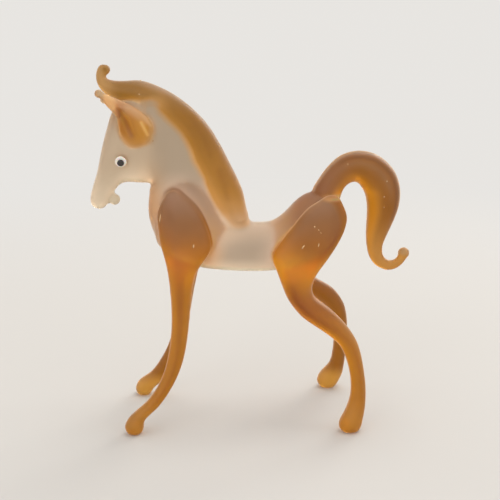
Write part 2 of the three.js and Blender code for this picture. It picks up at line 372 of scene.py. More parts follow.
def dot(node, rings=10, spokes=48):
    """A small melted dot of glass, as wide and thick as its CAD node and a little uneven."""
    places = corners(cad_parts[node].data)
    middle = (places.min(axis=0) + places.max(axis=0)) / 2
    spread, axes = np.linalg.eigh(np.cov((places - middle).T))
    axes = axes[:, np.argsort(spread)]
    local = (places - middle) @ axes
    middle = middle + axes @ ((local.min(axis=0) + local.max(axis=0)) / 2)
    thick, wide, long = (local.max(axis=0) - local.min(axis=0)) / 2
    widest = 1 + sum(share for _, share, _ in DOT_WAVES)
    made = []
    for i in range(rings + 1):
        tilt = math.pi * (i / rings - 0.5)
        for k in range(spokes):
            turn = 2 * math.pi * k / spokes
            uneven = 1 + sum(share * math.sin(waves * turn + phase) for waves, share, phase in DOT_WAVES)
            across = math.cos(tilt) ** DOT_BULGE * uneven / widest
            point = (math.sin(tilt), across * math.cos(turn), across * math.sin(turn))
            made.append(middle + axes @ (np.array(point) * (thick, wide, long)))
    return closed_mesh(node, made, ring_faces(rings, spokes))


# Maps of the glass, as seen across the horse

MAP_CELL_MM = 0.4
CELL_BLUR_MM = 0.45  # evens out the steps between the cells
FROST_BLUR_MM = 1.6  # frosted glass blurs what lies behind it this much
MAP_MARGIN_MM = Vector((6, 6, 6))
MAP_LOW = Vector(cad_box[0]) / MM - MAP_MARGIN_MM
MAP_HIGH = Vector(cad_box[1]) / MM + MAP_MARGIN_MM
MAP_SHAPE = tuple(int((MAP_HIGH[i] - MAP_LOW[i]) / MAP_CELL_MM) + 2 for i in (0, 2))


def cells(places):
    """The map cell that each place falls in, and its share of the next one."""
    x = (places[:, 0] / MM - MAP_LOW.x) / MAP_CELL_MM
    z = (places[:, 2] / MM - MAP_LOW.z) / MAP_CELL_MM
    column = np.clip(x.astype(int), 0, MAP_SHAPE[0] - 2)
    row = np.clip(z.astype(int), 0, MAP_SHAPE[1] - 2)
    return column, row, x - column, z - row


def blurred(glass, spread_mm):
    """The map with each cell spread over its surroundings."""
    sigma = spread_mm / MAP_CELL_MM
    reach = math.ceil(3 * sigma)
    weights = np.exp(-0.5 * (np.arange(-reach, reach + 1) / sigma) ** 2)
    weights /= weights.sum()
    for axis in (0, 1):
        glass = np.apply_along_axis(np.convolve, axis, glass, weights, "same")
    return glass


def glass_map(mesh, spread_mm):
    """How many mm of the mesh's glass a line across the horse passes through."""
    total = np.zeros(MAP_SHAPE[0] * MAP_SHAPE[1])
    middle = read(mesh.polygons, "center", 3)
    facing = read(mesh.polygons, "normal", 3)
    area = read(mesh.polygons, "area")
    column = middle[:, 1] * facing[:, 1] * area / MM ** 3 / MAP_CELL_MM ** 2
    x, z, right, up = cells(middle)
    for dx, share_x in ((0, 1 - right), (1, right)):
        for dz, share_z in ((0, 1 - up), (1, up)):
            place = (x + dx) * MAP_SHAPE[1] + z + dz
            total += np.bincount(place, column * share_x * share_z, minlength=len(total))
    return blurred(total.reshape(MAP_SHAPE), spread_mm)


def looked_up(glass, places):
    """The map's value at each place."""
    x, z, right, up = cells(places)
    low = glass[x, z] * (1 - right) + glass[x + 1, z] * right
    high = glass[x, z + 1] * (1 - right) + glass[x + 1, z + 1] * right
    return low * (1 - up) + high * up


# The colours of the glass, with the painted light and shade laid on it marked where they stand:
# red, green and blue from 0 to 255, as they show against the pale paper, and from 0 to 1 how
# much of it covers what lies under it

TONES = {
    "trunk": (166, 152, 134, 1.0),
    "neck": (162, 149, 129, 1.0),
    "head": (184, 168, 144, 1.0),
    "muzzle": (206, 192, 168, 1.0),
    # Painted light: the back paler where it faces up, the underside paler where it faces down
    "back": (222, 198, 174, 1.0),
    "lit underside": (254, 238, 212, 1.0),
    "thin clear": (232, 214, 190, 1.0),
    # Painted light: a pale haze beside the legs and on the shoulder
    "light haze beside legs": (240, 212, 190, 0.8),
    "shoulder light haze": (240, 212, 190, 0.36),
    "chest": (238, 184, 124, 0.55),
    "behind elbow": (238, 184, 124, 0.5),
    "withers": (226, 202, 176, 1.0),
    "rump": (176, 132, 104, 1.0),
    "beside tail": (150, 110, 80, 1.0),
    "leg": (180, 122, 38, 1.0),
    # Painted light: a glow where a leg faces down, and paler where it faces up
    "leg lit from below": (206, 140, 36, 1.0),
    "leg lit from above": (184, 134, 72, 1.0),
    "hock": (158, 97, 4, 0.9),
    "foot": (188, 134, 60, 1.0),
    # Painted light: a glow on the near hind toe and a lighter far foot; painted shade on the far shank
    "toe glow": (206, 140, 36, 0.8),
    "far foot light": (202, 152, 74, 1.0),
    "far shank shade": (150, 98, 34, 0.8),
    # A pad: amber with a painted glow of light low down, duller higher up, and painted light on its top
    # and where it faces down
    "pad low": (166, 104, 20, 1.0),
    "pad": (146, 105, 72, 1.0),
    "lit pad top": (158, 125, 103, 1.0),
    "pad lit from below": (168, 108, 38, 0.6),
    "pad past the trunk": (184, 124, 40, 1.0),
    # Painted glow: bright bands low on the pads
    "fore glow band": (208, 142, 26, 0.85),
    "hind glow band": (232, 164, 14, 0.9),
    # Painted shade: a dark line inside a pad's pale edge, and the haunch shade
    "pad rim shade": (122, 82, 54, 0.55),
    "haunch shade": (122, 82, 54, 0.6),
    "pad rim warm": (172, 110, 34, 0.6),
    # Painted light along a pad's edge
    "pad edge light": (226, 190, 160, 0.5),
    "tail": (150, 99, 22, 1.0),
    # Painted light on the tail: a veil of light, a glow inside its bend, a dark line of painted
    # refraction and a pale rim outside
    "tail light veil": (154, 114, 78, 0.7),
    "tail root": (146, 100, 66, 1.0),
    "tail glow": (224, 156, 60, 1.0),
    "tail refraction line": (120, 78, 36, 0.75),
    "tail rim light": (176, 144, 116, 1.0),
    "tail end": (200, 149, 80, 0.75),
    "tail ball": (180, 144, 100, 1.0),
    # Painted glow in the crevice between tail and haunch
    "crevice glow": (255, 204, 136, 1.0),
    "hair": (152, 106, 42, 1.0),
    "hair low": (176, 126, 58, 1.0),
    # Painted light on the mane: a glow where it faces down and along its border, and a paler crest
    "hair lit from below": (174, 122, 50, 0.7),
    "hair top": (152, 114, 64, 0.7),
    "hair streak": (132, 86, 30, 1.0),
    "hair border glow": (212, 158, 90, 1.0),
    "lit hair crest": (162, 126, 90, 1.0),
    "hair end": (200, 158, 112, 0.6),
    "hair tip": (226, 202, 176, 0.3),
    "forelock": (190, 150, 96, 0.8),
    "curl": (150, 108, 50, 1.0),
    "ear": (190, 136, 62, 1.0),
    "ear top": (212, 174, 132, 1.0),
    # Painted shade in the ear's hollow and fold; painted light on its ridge and top edge
    "ear hollow shade": (172, 108, 16, 0.9),
    "ear fold shade": (150, 96, 4, 0.95),
    "ear ridge highlight": (240, 190, 116, 1.0),
    "ear edge light": (220, 182, 144, 0.7),
    "ear neck": (226, 188, 138, 1.0),
    "ear ball": (196, 168, 132, 1.0),
    # Painted rim light along the outline
    "amber rim light": (230, 182, 118, 0.55),
    "hair rim light": (206, 176, 146, 0.3),
}
HAZE = 0.028  # light that the frosted skin adds, whatever the glass's colour is
PASS = 0.72  # share of the paper's light that comes through
DARKEST = 0.001  # the least of any channel

# Where the colours change, in mm. Each pair says where something starts and where it is full,
# or where it starts to fade and where it is gone.

HEIGHTS = {
    "neck": (66, 80),
    "muzzle": (67, 79),
    "back": (66, 76),
    "foot": (5, 11),
    "far foot light": (4, 9),
    "far shank shade": (42, 50),
    "shank": (48, 54),
    "pad": (44, 53),
    "dull pad": (51, 63),
    "lit pad top": (62, 71),
    "pad side": (50, 56),
    "pad side top": (60, 66),
    "pad line": (56, 60),
    "pad edge light": (54, 60),
    "warm rim": (50, 54),
    "warm rim top": (60, 68),
    "soft shoulder": (58, 66),
    "tail light veil": (66, 74),
    "tail bend": (70, 73),
    "tail refraction line": (57, 66),
    "tail end": (50, 66),
    "tail ball": (50, 51.5),
    "tail ball top": (53, 56),
    "hair low": (66, 92),
    "hair top": (93, 99),
    "thin hair border glow": (80, 90),
    "hair end": (62, 72),
    "hair tip": (61.5, 66),
}
LENGTHS = {
    "ear ball": (-43.4, -42.2),
    "forelock": (-44, -38),
    "ear neck": (-40.5, -38.0),
    "hind leg": (0, 4),
    "hock": (5, 10),
    "rump": (7, 14.5),
    "tail root": (22, 34),
    "tail refraction line": (23, 29),
    "tail ball": (44, 45),
}
FADES = {"pad side top": 0.6, "tail bend": 0.5, "thin hair border glow": 0.5}  # the share that fades
FAR_SIDE_MM = (4, 8)
FACE_MM = (0.0, 5.0)  # away from the trunk
LIP_MM = (0.2, 1.0)  # away from the lower lip
THICK_MM = (1.0, 7.0)  # glass passed through, from thin and pale to thick
EAR_TOP_MM = (73.6, 76.8)  # height over a line that slants with the ear
EAR_SLANT = 0.55
EAR_TOP_SOFTER = 0.5  # how much wider the ear's border runs at its top
FAR_EAR_DROP_MM = 2.4  # how much lower the far ear is than the near one

# How much nearer a glass is than the clear glass where it starts to show and where it is alone.
# The last two rows say where a tone of its border starts to fade and where it is gone.
LEADS_MM = {
    "legs": (-0.6, 0.5),
    "tail": (-0.6, 0.6),
    "mane": (-1.2, 1.4),
    "ears": (-1.3, 1.8),
    "rims": (-0.5, 0.5),
    "warm rim": (0.5, 3.0),
    "hair border glow": (0.6, 3.0),
}
LEAD_ENDS_MM = (2.0, 4.0)  # this far away, a glass falls behind the clear one
LEAD_FALL_MM = 9.0

# Which way the skin faces, for painted light that follows how light falls on it: the direction
# as x and z, and how squarely for none and all of a tone
FACINGS = {
    "back": (0.2, 1, 0.1, 0.9),
    "lit underside": (-0.2, -1, 0.2, 0.95),
    "leg lit from below": (-0.6, -0.75, 0.0, 0.9),
    "leg lit from above": (0.6, 0.8, 0.2, 0.98),
    "pad lit from below": (-0.6, -0.75, 0.1, 0.9),
    "shoulder back": (0.9, 0.4, 0, 0.5),
    "haunch front": (-0.7, 0.7, 0, 0.5),
    "hair lit from below": (-0.6, -0.75, -0.3, 0.6),
    "lit hair crest": (0.5, 0.85, 0.75, 1.0),
}
# Painted rim light follows the outline, where the skin turns sideways
SIDEWAYS = (0.05, 0.5)  # how squarely the skin faces sideways, from the outline's edge inward
FACE_UNDERSIDE = 0.1  # the face's underside starts a little higher

# Soft bands around a height: its middle and half width
BANDS = {
    "hock": (38, 6),
    # the fore and hind bands are a painted glow
    "fore glow band": (48, 4.5),
    "hind glow band": (48.3, 4.2),
    "nape": (84, 9),
    "poll": (94, 4),
}

# Soft spots: the middle as x and z, and the half width and half height
SPOTS = {
    "chest": (-30.0, 66, 4, 10),
    "behind elbow": (-12.5, 53.0, 3.0, 4.5),
    "withers": (-9, 61, 6, 5),
    "toe glow": (26.5, 3.5, 2.0, 2.6),
    "haunch shade": (15.1, 55.5, 4.0, 3.0),
    "crevice glow": (24.0, 69.5, 2.8, 0.55),
    "curl": (-42.9, 106.9, 0.8, 0.8),
    "behind ear": (-31.5, 97.2, 5.0, 2.6),
    "ear hollow shade": (-37.0, 91.4, 2.3, 3.6),
}

# Soft lines: points as x and z, and the half width
LINES = {
    "shoulder light haze": (((-14.6, 72.4), (-10.4, 65.0), (-9.2, 62.4)), 1.7),
    # Painted shade in the ear's fold, and painted light on its ridge and top edge
    "ear fold shade": (((-39.2, 95.4), (-38.1, 94.0), (-36.4, 91.5), (-35.2, 88.4)), 1.1),
    "ear ridge highlight": (((-32.3, 92.0), (-30.6, 88.4)), 0.42),
    "ear edge light": (((-41.5, 97.6), (-38.5, 96.6), (-34.9, 96.2), (-31.6, 93.8), (-29.6, 91.0)), 0.35),
}

# Darker streaks in the mane: the same, and how dark
HAIR_STREAKS = (
    (((-20.9, 101.5), (-15.9, 96.5), (-12.4, 91.0)), 1.1, 0.5),
    (((-17.6, 92.6), (-14.4, 87.4), (-12.6, 82.4)), 0.8, 0.25),
    (((-9.6, 88.0), (-6.6, 81.0), (-5.4, 75.2)), 1.0, 0.3),
    (((-10.0, 77.4), (-8.4, 72.8), (-7.6, 69.6)), 1.1, 0.35),
)

# How many mm a tint reaches into the clear glass beside another one: a paler haze of painted
# light beside the legs, and a darker tint beside the tail
LEG_TINT_MM = 3.0
TAIL_TINT_MM = 2.5

# How many mm of the mane show through the clear glass beside it: everywhere, more at the nape
# and the poll, and less behind the ear
MANE_SHOWS_MM = 0.6
NAPE_SHOWS_MM = 1.2
POLL_SHOWS_MM = 0.8
EAR_CLEARS_MM = 2.6

# A pad's tones slant down in front of the shoulder and behind the haunch
SHOULDER_SLANT = (-23, 1.2)  # x in mm where it starts, and mm down a mm
HAUNCH_SLANT = (22, 0.9)
# The dark line inside a pad's border is painted shade
PAD_LINE_MM = (1.0, 0.45)  # how far inside a pad's border its dark line runs, and its half width

# The tail's tones go round it: 1 is its outside, -1 the inside of its bend
TAIL_BEND_MM = (33, 69)  # x and z of the bend's middle
# Around the tail: a veil of painted light, a dark line of painted refraction, a pale rim of painted
# light outside and a painted glow inside the bend
TAIL_LIGHT_VEIL = (0.3, 0.2)  # a band's middle and half width
TAIL_REFRACTION_LINE = (0.66, 0.12)
TAIL_RIM_LIGHT = (0.78, 0.95)  # where the tone starts and where it is full
TAIL_GLOW = (0.05, 0.8)  # the same, but towards the inside
TINY_MM = 1e-6  # keeps a length from being zero


def linear(channel):
    """A channel from 0 to 255, as the shader wants it."""
    c = channel / 255
    return c / 12.92 if c <= 0.04045 else ((c + 0.055) / 1.055) ** 2.4


def over(colour, share, name):
    """The colour with a share of the named tone laid over it."""
    *channels, cover = TONES[name]
    other = np.array([max((linear(channel) - HAZE) / PASS, DARKEST) for channel in channels])
    return colour + np.reshape(share, (-1, 1)) * cover * (other - colour)


def hump(value, middle, width):
    """1 at the middle, falling softly to 0 on both sides."""
    return np.exp(-((value - middle) / width) ** 2)


class Fields:
    """What the colours follow, at each vertex of the skin. Places and distances are in mm."""

    def __init__(self, skin, copies, away):
        self.away = away
        self.x, self.y, self.z = corners(skin).T / MM
        self.normals = normals(skin)
        self.thick = looked_up(glass_map(skin, CELL_BLUR_MM), corners(skin))
        self.trunk = looked_up(glass_map(copies["trunk_and_neck"], FROST_BLUR_MM), corners(skin))
        self.to_clear = np.min([away[name] for name in CLEAR], axis=0)
        self.start = np.zeros((len(self.x), 3))

    def to(self, names):
        return np.min([self.away[name] for name in names], axis=0)

    def lead(self, names):
        """How much nearer these pieces are than the clear glass, and far below 0 away from them."""
        near = self.to(names)
        return self.to_clear - near - LEAD_FALL_MM * ease(near, *LEAD_ENDS_MM)

    def above(self, name):
        return ease(self.z, *HEIGHTS[name])

    def below(self, name):
        return 1 - self.above(name)

    def faded(self, name):
        return 1 - FADES[name] * self.above(name)

    def behind(self, name):
        return ease(self.x, *LENGTHS[name])

    def before(self, name):
        return 1 - self.behind(name)

    def band(self, name):
        return hump(self.z, *BANDS[name])

    def spot(self, name):
        x, z, wide, high = SPOTS[name]
        return hump(self.x, x, wide) * hump(self.z, z, high)

    def faces(self, name, sooner=0.0):
        """How fully the skin faces the named way, and sooner if asked."""
        x, z, none, full = FACINGS[name]
        squarely = self.normals @ (np.array([x, 0, z]) / math.hypot(x, z))
        return ease(squarely + sooner, none, full)

    def line(self, points, width, far_drop=0.0):
        """A soft line through the points, lower by the drop on the far side."""
        z = self.z + far_drop * (self.y > 0)
        near = np.full(len(z), np.inf)
        for (ax, az), (bx, bz) in zip(points, points[1:]):
            along = (self.x - ax) * (bx - ax) + (z - az) * (bz - az)
            t = np.clip(along / ((bx - ax) ** 2 + (bz - az) ** 2), 0, 1)
            near = np.minimum(near, np.hypot(self.x - ax - t * (bx - ax), z - az - t * (bz - az)))
        return hump(near, 0, width)


def clear_colour(f):
    """The trunk, neck and head: paler where the glass is thin, tinted beside other glass, and with
    painted light on the back, the underside and beside the legs.
    """
    face = ease(f.away["trunk_and_neck"], *FACE_MM)
    colour = over(f.start, 1, "trunk")
    colour = over(colour, f.above("neck") * (1 - face), "neck")
    colour = over(colour, face, "head")
    colour = over(colour, face * f.below("muzzle"), "muzzle")
    # Painted light: paler on the back where it faces up, and on the underside where it faces down
    colour = over(colour, f.faces("back") * (1 - face) * f.below("back"), "back")
    colour = over(colour, f.faces("lit underside", FACE_UNDERSIDE * face), "lit underside")
    colour = over(colour, 1 - ease(f.thick, *THICK_MM), "thin clear")
    # Painted light: a pale haze beside the legs
    colour = over(colour, np.exp(-f.to(LEGS) / LEG_TINT_MM), "light haze beside legs")
    colour = over(colour, f.spot("chest"), "chest")
    colour = over(colour, f.spot("behind elbow"), "behind elbow")
    colour = over(colour, 1 - ease(f.away["lower_lip"], *LIP_MM), "muzzle")
    colour = over(colour, f.spot("withers"), "withers")
    colour = over(colour, f.behind("rump"), "rump")
    return over(colour, np.exp(-f.away["tail"] / TAIL_TINT_MM), "beside tail")


def lit_edge_side(f):
    """How fully the skin faces the side on which a pad's edge is painted pale with light."""
    return np.where(f.x < 0, f.faces("shoulder back"), f.faces("haunch front"))


def pad_height(f):
    """The height that a pad's tones follow, which drops in front and behind."""
    fore_x, fore_slope = SHOULDER_SLANT
    hind_x, hind_slope = HAUNCH_SLANT
    return f.z + fore_slope * np.minimum(f.x - fore_x, 0) - hind_slope * np.maximum(f.x - hind_x, 0)


def shank_colour(f):
    """Amber, darker at the hock and with paler feet; painted light glows where it faces down and pales
    it where it faces up, painted shade darkens the far shank and painted light brightens the far foot.
    """
    far = ease(f.y, *FAR_SIDE_MM)
    colour = over(f.start, 1, "leg")
    colour = over(colour, f.faces("leg lit from below"), "leg lit from below")
    colour = over(colour, f.faces("leg lit from above"), "leg lit from above")
    colour = over(colour, f.band("hock") * f.behind("hock"), "hock")
    colour = over(colour, far * f.below("far shank shade"), "far shank shade")
    colour = over(colour, f.below("foot") * (1 - far), "foot")
    colour = over(colour, f.spot("toe glow") * (1 - far), "toe glow")
    return over(colour, f.below("far foot light") * far, "far foot light")


def pad_colour(f, height):
    # Amber with a painted glow of light low down, duller higher up, and painted light on the top and
    # where it faces down
    colour = over(f.start, 1, "pad low")
    colour = over(colour, ease(height, *HEIGHTS["dull pad"]), "pad")
    colour = over(colour, ease(height, *HEIGHTS["lit pad top"]), "lit pad top")
    return over(colour, f.faces("pad lit from below"), "pad lit from below")


def leg_colour(f):
    """The shanks are amber. The pads look duller where the trunk lies behind them."""
    height = pad_height(f)
    within = ease(f.trunk, *THICK_MM)
    colour = shank_colour(f)
    colour += (within * f.above("pad"))[:, None] * (pad_colour(f, height) - colour)
    past = (1 - within) * f.above("pad side") * f.faded("pad side top")
    colour = over(colour, past, "pad past the trunk")
    hind = f.behind("hind leg")
    # Painted glow: a bright band low on each pad
    colour = over(colour, hump(height, *BANDS["fore glow band"]) * (1 - hind), "fore glow band")
    colour = over(colour, f.band("hind glow band") * hind, "hind glow band")
    colour = over(colour, f.spot("haunch shade"), "haunch shade")
    inward = f.lead(LEGS)
    # Painted shade: a dark line inside a pad's pale edge
    painted_shade_line = hump(inward, *PAD_LINE_MM) * f.above("pad line") * lit_edge_side(f) * hind
    colour = over(colour, painted_shade_line, "pad rim shade")
    outer = 1 - ease(inward, *LEADS_MM["warm rim"])
    return over(colour, outer * f.above("warm rim") * f.below("warm rim top"), "pad rim warm")


def tail_colour(f):
    """Painted light: a glow on the inside of the tail's bend, a veil of light and a pale rim on the
    outside, and a dark line of painted refraction along the outside.
    """
    bend_x, bend_z = TAIL_BEND_MM
    over_bend = f.z > bend_z
    out_x = np.where(over_bend, f.x - bend_x, 1.0)
    out_z = np.where(over_bend, f.z - bend_z, 0.0)
    outward = (f.normals[:, 0] * out_x + f.normals[:, 2] * out_z) / (np.hypot(out_x, out_z) + TINY_MM)
    glow = ease(-outward, *TAIL_GLOW) * f.faded("tail bend")
    line = hump(outward, *TAIL_REFRACTION_LINE) * f.behind("tail refraction line") * f.above("tail refraction line")
    ball = f.above("tail ball") * f.below("tail ball top") * f.behind("tail ball")
    colour = over(f.start, 1, "tail")
    colour = over(colour, hump(outward, *TAIL_LIGHT_VEIL) * f.above("tail light veil"), "tail light veil")
    colour = over(colour, f.before("tail root"), "tail root")
    colour = over(colour, glow, "tail glow")
    colour = over(colour, line, "tail refraction line")
    colour = over(colour, ease(outward, *TAIL_RIM_LIGHT), "tail rim light")
    colour = over(colour, f.below("tail end"), "tail end")
    return over(colour, ball, "tail ball")


def hair_colour(f, ahead):
    """Streaked and paler at both ends, with painted light: a glow along the lower border and where it
    faces down, and a paler crest.
    """
    border = (1 - ease(ahead, *LEADS_MM["hair border glow"])) * f.faded("thin hair border glow")
    colour = over(f.start, 1, "hair")
    colour = over(colour, f.below("hair low"), "hair low")
    colour = over(colour, f.faces("hair lit from below"), "hair lit from below")
    for points, width, share in HAIR_STREAKS:
        colour = over(colour, f.line(points, width) * share, "hair streak")
    colour = over(colour, f.above("hair top"), "hair top")
    colour = over(colour, border, "hair border glow")
    colour = over(colour, f.faces("lit hair crest"), "lit hair crest")
    colour = over(colour, f.below("hair end"), "hair end")
    colour = over(colour, f.below("hair tip"), "hair tip")
    colour = over(colour, f.before("forelock"), "forelock")
    return over(colour, f.spot("curl"), "curl")


def ear_colour(f, upper):
    """Painted shade darkens the hollow and the fold, a painted highlight lies on the ridge and painted
    light along the top edge, and it is paler towards the tip.
    """
    colour = over(f.start, 1, "ear")
    colour = over(colour, upper, "ear top")
    colour = over(colour, f.spot("ear hollow shade"), "ear hollow shade")
    for name in ("ear fold shade", "ear ridge highlight", "ear edge light"):
        colour = over(colour, f.line(*LINES[name], FAR_EAR_DROP_MM), name)
    colour = over(colour, f.before("ear neck"), "ear neck")
    return over(colour, f.before("ear ball"), "ear ball")


def glass_colour(f):
    """The colour of the whole skin, so that one glass runs softly into the next."""
    def lay(share, other):
        return colour + share[:, None] * (other - colour)

    colour = clear_colour(f)
    blend = 1 + (f.x < 0) * f.above("soft shoulder") * (1 - lit_edge_side(f))
    colour = lay(ease(f.lead(LEGS) / blend, *LEADS_MM["legs"]), leg_colour(f))
    colour = lay(ease(f.lead(["tail"]), *LEADS_MM["tail"]), tail_colour(f))
    # Painted glow in the crevice between tail and haunch
    colour = over(colour, f.spot("crevice glow"), "crevice glow")
    # Painted light: a pale haze on the shoulder
    colour = over(colour, f.line(*LINES["shoulder light haze"]), "shoulder light haze")

    shows = MANE_SHOWS_MM + NAPE_SHOWS_MM * f.band("nape") + POLL_SHOWS_MM * f.band("poll")
    ahead = f.lead(MANE) + (shows - EAR_CLEARS_MM * f.spot("behind ear"))
    colour = lay(ease(ahead, *LEADS_MM["mane"]), hair_colour(f, ahead))

    upper = ease(f.z + FAR_EAR_DROP_MM * (f.y > 0) + EAR_SLANT * f.x, *EAR_TOP_MM)
    blend = 1 + EAR_TOP_SOFTER * upper
    colour = lay(ease(f.lead(EARS) / blend, *LEADS_MM["ears"]), ear_colour(f, upper))

    # Painted rim light: paler where the skin turns sideways at the outline
    edge = 1 - ease(np.abs(f.normals[:, 1]), *SIDEWAYS)
    legs = ease(f.lead(LEGS), *LEADS_MM["rims"])
    tail = ease(f.lead(["tail"]), *LEADS_MM["rims"])
    hair = ease(ahead, *LEADS_MM["rims"])
    colour = over(colour, edge * legs * f.above("pad edge light") * lit_edge_side(f), "pad edge light")
    colour = over(colour, edge * np.maximum(legs * f.below("shank"), tail), "amber rim light")
    colour = over(colour, edge * hair, "hair rim light")
    return np.clip(colour, 0, 1)


# Materials

def tone(*channels):
    return (*(linear(channel) for channel in channels), 1.0)


class Paint:
    """Builds one material's nodes."""

    def __init__(self, name):
        self.material = bpy.data.materials.new(name)
        self.material.use_nodes = True
        self.nodes = self.material.node_tree.nodes
        self.links = self.material.node_tree.links
        self.nodes.clear()

    def node(self, kind, **settings):
        made = self.nodes.new(kind)
        for name, value in settings.items():
            setattr(made, name, value)
        return made

    def feed(self, socket, value):
        if isinstance(value, bpy.types.NodeSocket):
            self.links.new(value, socket)
        else:
            socket.default_value = value

    def painted(self):
        return self.node("ShaderNodeAttribute", attribute_name="glass_colour").outputs["Color"]

    def maths(self, operation, a, b):
        made = self.node("ShaderNodeMath", operation=operation)
        self.feed(made.inputs[0], a)
        self.feed(made.inputs[1], b)
        return made.outputs[0]

    def place(self):
        return self.node("ShaderNodeNewGeometry").outputs["Position"]

    def noise(self, size_mm, detail=2.0):
        """Soft random mottling with spots of about the given size."""
        made = self.node("ShaderNodeTexNoise")
        self.links.new(self.place(), made.inputs["Vector"])
        made.inputs["Scale"].default_value = 1 / (size_mm * MM)
        made.inputs["Detail"].default_value = detail
        return made.outputs["Fac"]

    def mottled(self, colour, size_mm, strength):
        """The colour, a little lighter and darker from place to place."""
        made = self.node("ShaderNodeHueSaturation")
        swing = self.maths("SUBTRACT", self.noise(size_mm), 0.5)
        level = self.maths("ADD", self.maths("MULTIPLY", swing, 2 * strength), 1.0)
        self.feed(made.inputs["Value"], level)
        self.feed(made.inputs["Color"], colour)
        return made.outputs["Color"]

    def shader(self, colour, roughness, **settings):
        made = self.node("ShaderNodeBsdfPrincipled")
        self.feed(made.inputs["Base Color"], colour)
        self.feed(made.inputs["Roughness"], roughness)
        for name, value in settings.items():
            made.inputs[name.replace("_", " ")].default_value = value
        return made

    def show(self, shader):
        self.links.new(shader.outputs[0], self.node("ShaderNodeOutputMaterial").inputs["Surface"])

    def frost(self, shader, height):
        """The fine tooth of etched glass."""
        bump = self.node("ShaderNodeBump")
        bump.inputs["Strength"].default_value = height
        bump.inputs["Distance"].default_value = TOOTH_DEPTH_MM * MM
        self.links.new(self.noise(TOOTH_MM, TOOTH_DETAIL), bump.inputs["Height"])
        self.links.new(bump.outputs["Normal"], shader.inputs["Normal"])


FROST = {"IOR": 1.45, "Specular_IOR_Level": 0.1, "Sheen_Weight": 1.0, "Sheen_Roughness": 0.3}
FROST_ROUGHNESS = 0.48
ROUGHNESS_SWING = 0.1
ROUGHNESS_SPOTS_MM = 1.1
COLOUR_SPOTS_MM = 5.0
TOOTH_MM = 0.28  # the size and depth of the tooth that etching leaves
TOOTH_DEPTH_MM = 0.05
TOOTH_DETAIL = 3.0
TOOTH_ON_FROST = 0.1
TOOTH_ON_WHITE = 0.05
CLEARNESS = {"clear_glass": 0.85, "mane_glass": 0.75, "amber_glass": 0.75}
MOTTLING = {"clear_glass": 0.03, "mane_glass": 0.1, "amber_glass": 0.1}
SHEENS = {
    "clear_glass": (1.0, 0.93, 0.84, 1.0),
    "mane_glass": (1.0, 0.8, 0.6, 1.0),
    "amber_glass": (1.0, 0.75, 0.5, 1.0),
}


def frosted_glass(slot):
    """Etched glass: a rough skin that light passes through and picks up the glass's colour."""
    paint = Paint("frosted_" + slot)
    colour = paint.mottled(paint.painted(), COLOUR_SPOTS_MM, MOTTLING[slot])
    swing = paint.maths("MULTIPLY", paint.noise(ROUGHNESS_SPOTS_MM), ROUGHNESS_SWING)
    roughness = paint.maths("ADD", swing, FROST_ROUGHNESS - ROUGHNESS_SWING / 2)
    looks = {**FROST, "Transmission_Weight": CLEARNESS[slot], "Sheen_Tint": SHEENS[slot]}
    shader = paint.shader(colour, roughness, **looks)
    paint.frost(shader, TOOTH_ON_FROST)
    paint.show(shader)
    return paint.material


def white_glass():
    paint = Paint("white_dots")
    colour = paint.mottled(tone(248, 240, 230), 0.8, 0.02)
    looks = {"Subsurface_Weight": 0.3, "Subsurface_Scale": 0.6 * MM, "Coat_Weight": 0.3}
    shader = paint.shader(colour, 0.28, **looks)
    paint.frost(shader, TOOTH_ON_WHITE)
    paint.show(shader)
    return paint.material


def black_glass():
    paint = Paint("black_dots")
    colour = paint.mottled(tone(34, 26, 22), 0.5, 0.1)
    paint.show(paint.shader(colour, 0.12, Coat_Weight=0.6, Coat_Roughness=0.05))
    return paint.material


# The pieces

def place_piece(name, mesh, material):
    piece = bpy.data.objects.new("glass_" + name, mesh)
    bpy.context.scene.collection.objects.link(piece)
    mesh.materials.append(material)
    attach(piece, "root")
    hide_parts(name)


copies = {name: fine_copy(name, cell) for name, cell in {**CLEAR, **MANE, **AMBER}.items()}
skin = shared_skin(copies)
away = distances(skin, copies)
colours = glass_colour(Fields(skin, copies, away))
painted = skin.attributes.new("glass_colour", "FLOAT_COLOR", "POINT")
painted.data.foreach_set("color", np.insert(colours, 3, 1, axis=1).astype(np.float32).ravel())
facing = skin.attributes.new("facing", "FLOAT_VECTOR", "POINT")
facing.data.foreach_set("vector", normals(skin).astype(np.float32).ravel())
shade_smooth(skin)

owner = owners(skin, away)
finishes = {slot: frosted_glass(slot) for slot in dict.fromkeys(SLOTS.values())}
for i, name in enumerate(copies):
    place_piece(name, patch(skin, owner == i, name), finishes[SLOTS[name]])

# Seed bubbles in the glass: x and z in mm, length and width in mm, and lean in degrees

SEEDS = (
    (-32.8, 99.9, 0.4, 0.4, 0),
    (-29.2, 86.5, 0.4, 0.4, 0),
    (-27.4, 64.4, 2.6, 0.35, 8),
    (-17.7, 56.4, 1.1, 0.45, 10),
    (17.8, 61.8, 0.5, 0.4, 0),
    (19.0, 60.9, 0.4, 0.3, 0),
    (19.6, 60.0, 0.35, 0.3, 0),
    (14.4, 55.9, 1.5, 0.4, 35),
    (19.0, 56.4, 1.2, 0.3, 10),
    (28.2, 79.2, 0.4, 0.3, 0),
    (39.2, 66.4, 0.3, 0.3, 0),
    (39.8, 74.2, 0.45, 0.4, 0),
    (38.7, 80.2, 0.35, 0.3, 0),
    (39.1, 69.6, 0.4, 0.35, 0),
)
BUBBLE_RINGS = 6
BUBBLE_SPOKES = 10
BUBBLE_DEPTH = 0.5  # share of a bubble's width
BESIDE_MM = 40  # how far beside the horse the search for the skin starts
FAR_SHIFT_MM = 2.5  # the far side's bubbles lie up to this far from the near side's
FAR_LEAN = 40  # and lean up to this many degrees
FAR_DRAW = 7  # starts the random draws

